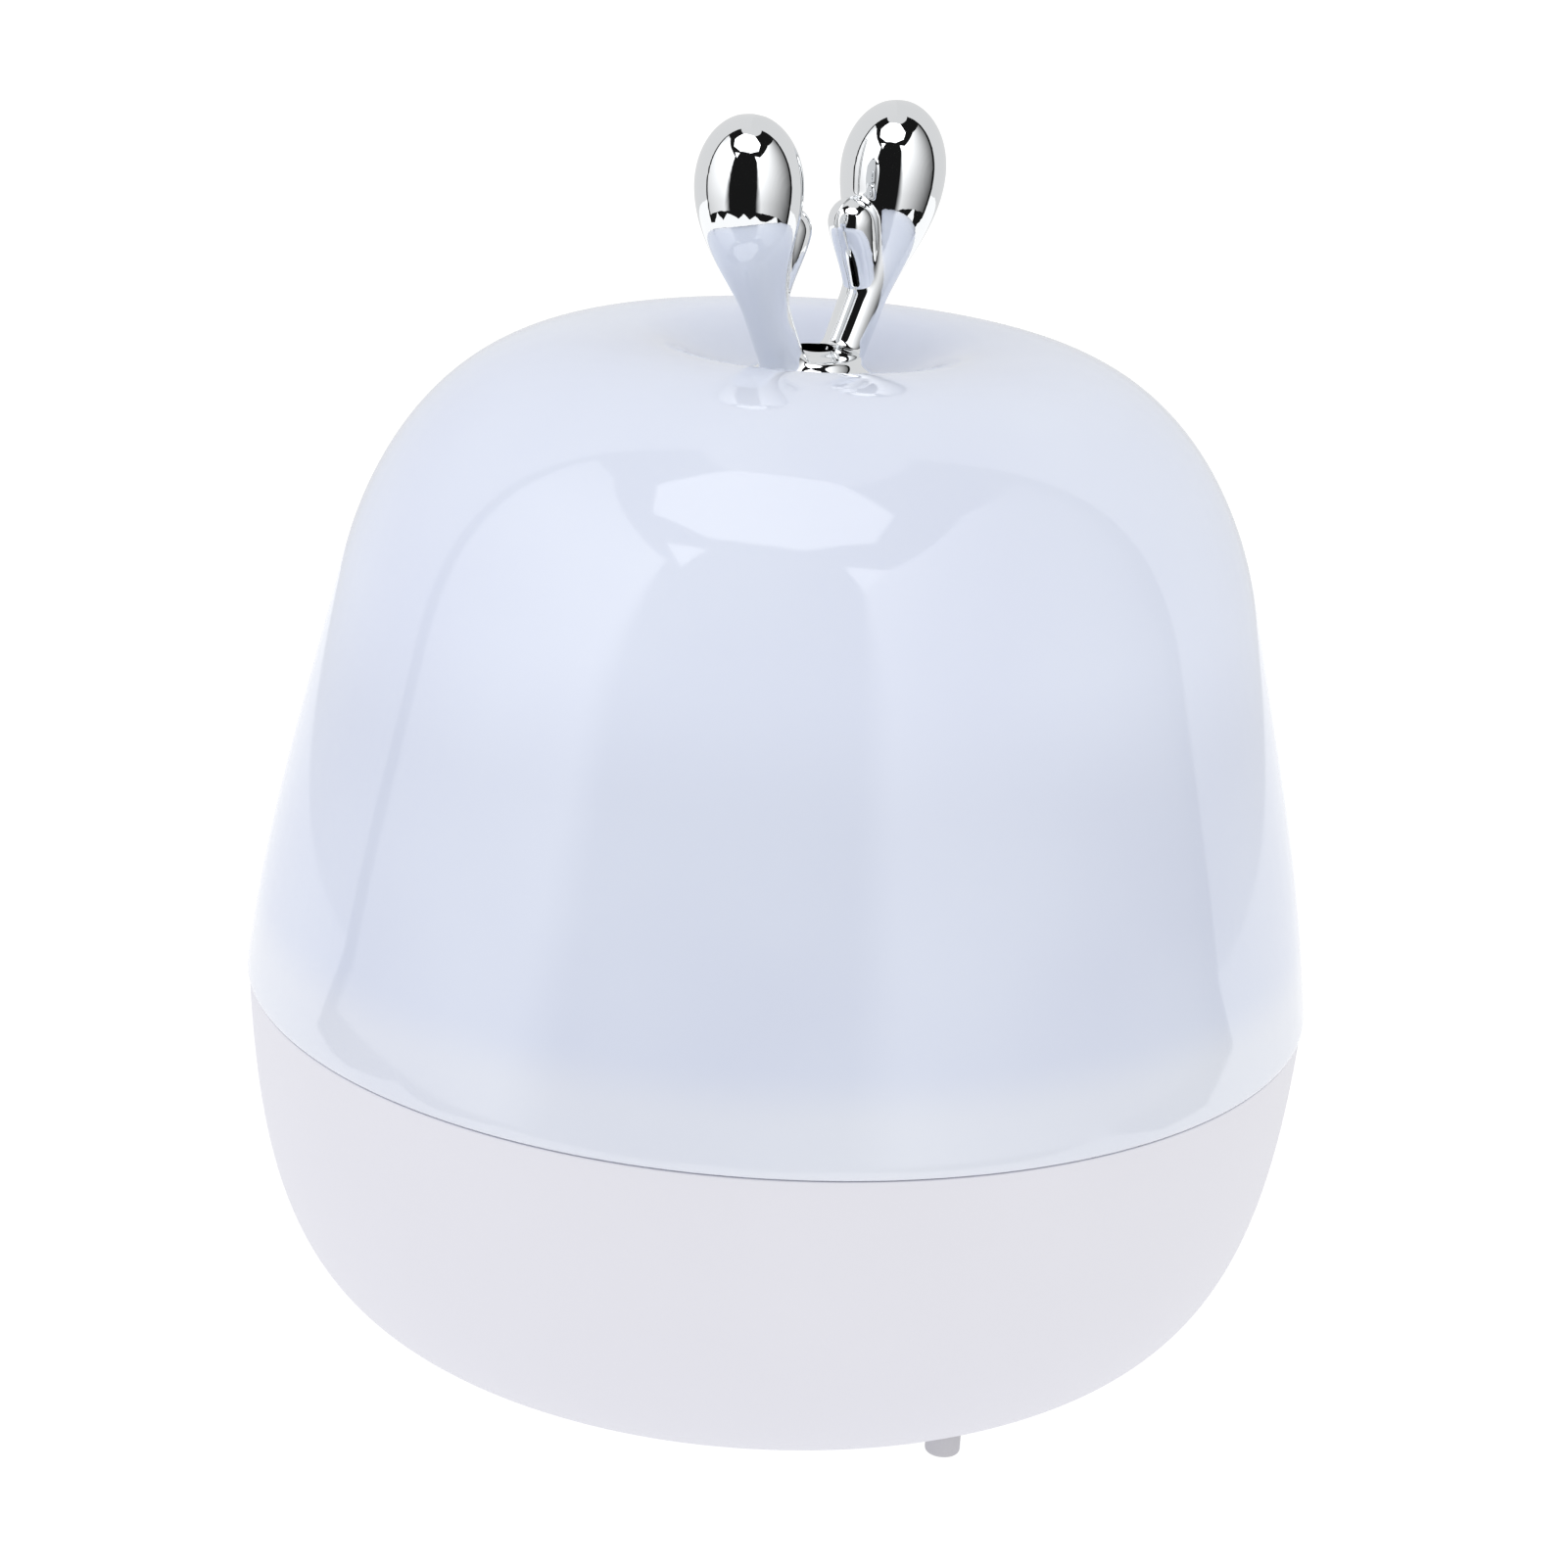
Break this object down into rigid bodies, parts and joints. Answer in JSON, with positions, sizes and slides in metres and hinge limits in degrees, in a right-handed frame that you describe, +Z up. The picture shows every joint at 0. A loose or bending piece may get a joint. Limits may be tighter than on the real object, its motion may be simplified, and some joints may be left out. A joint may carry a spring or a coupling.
{
  "type": "cool mist humidifier",
  "caption": "Round desktop cool mist humidifier: matt bowl, glossy opal lift-off dome with a dished top, and chrome antlers around the mist outlet.",
  "frame": {"origin": "on the vertical axis, level with the undersides of the feet", "axes": "+Z up along the axis of the round body; the antlers spread along X; the power inlet and the button face +Y"},
  "size_m": [0.11, 0.11, 0.1284],
  "materials": {
    "opal_dome": "glossy opal polypropylene dome",
    "matt_white": "fine matt moulded ABS",
    "white_abs": "satin moulded ABS",
    "frosted_pp": "frosted translucent polypropylene",
    "chrome_plated": "bright chrome-plated ABS",
    "silicone": "soft translucent silicone",
    "foot_rubber": "light grey rubber",
    "cotton": "pressed cotton fibre",
    "steel": "zinc-plated steel",
    "brass": "gold-flashed brass",
    "piezo_disc": "silvered ceramic ring with a steel mesh",
    "board_green": "solder-masked glass-fibre board",
    "black_plastic": "black nylon",
    "led_yellow": "phosphor-filled epoxy",
    "wire_red": "PVC-insulated wire"
  },
  "bodies": {
    "base": {"bowl_shell": "matt_white", "bottom_plate": "matt_white", "foot_1": "foot_rubber", "foot_2": "foot_rubber", "foot_3": "foot_rubber", "bottom_screw_1": "steel", "bottom_screw_2": "steel", "bottom_screw_3": "steel", "deck": "white_abs", "main_board": "board_green", "board_screw_1": "steel", "board_screw_2": "steel", "power_inlet": "steel", "button_switch": "black_plastic", "light_board": "board_green", "light_1": "led_yellow", "light_2": "led_yellow", "light_3": "led_yellow", "light_4": "led_yellow", "light_5": "led_yellow", "light_6": "led_yellow", "light_lead": "wire_red", "water_tank": "frosted_pp", "contact_column": "white_abs", "contact_pin_1": "brass", "contact_pin_2": "brass"},
    "button": {"button_cap": "matt_white"},
    "mist_head": {"tank_lid": "white_abs", "lid_seal": "silicone", "contact_pad_1": "brass", "contact_pad_2": "brass", "wick_tube": "frosted_pp", "tube_foot_cap": "white_abs", "wick_spring": "steel", "cotton_wick": "cotton", "mist_disc_seal": "silicone", "mist_disc": "piezo_disc", "head_cap": "white_abs"},
    "dome": {"dome_shell": "opal_dome", "antlers": "chrome_plated", "antler_nut": "white_abs", "mist_sleeve": "silicone"}
  },
  "joints": [
    {"name": "dome_lift", "type": "slide", "parent": "base", "child": "dome", "axis": [0, 0, 1], "range_m": [0, 0.1]},
    {"name": "mist_head_lift", "type": "slide", "parent": "base", "child": "mist_head", "axis": [0, 0, 1], "range_m": [0, 0.045]},
    {"name": "button_press", "type": "slide", "parent": "base", "child": "button", "axis": [0, -1, 0], "range_m": [0, 0.0005], "stiffness_N_per_m": 2000}
  ],
  "couplings": [
    {"joint": "mist_head_lift", "follows": "dome_lift", "ratio": 0.45}
  ]
}
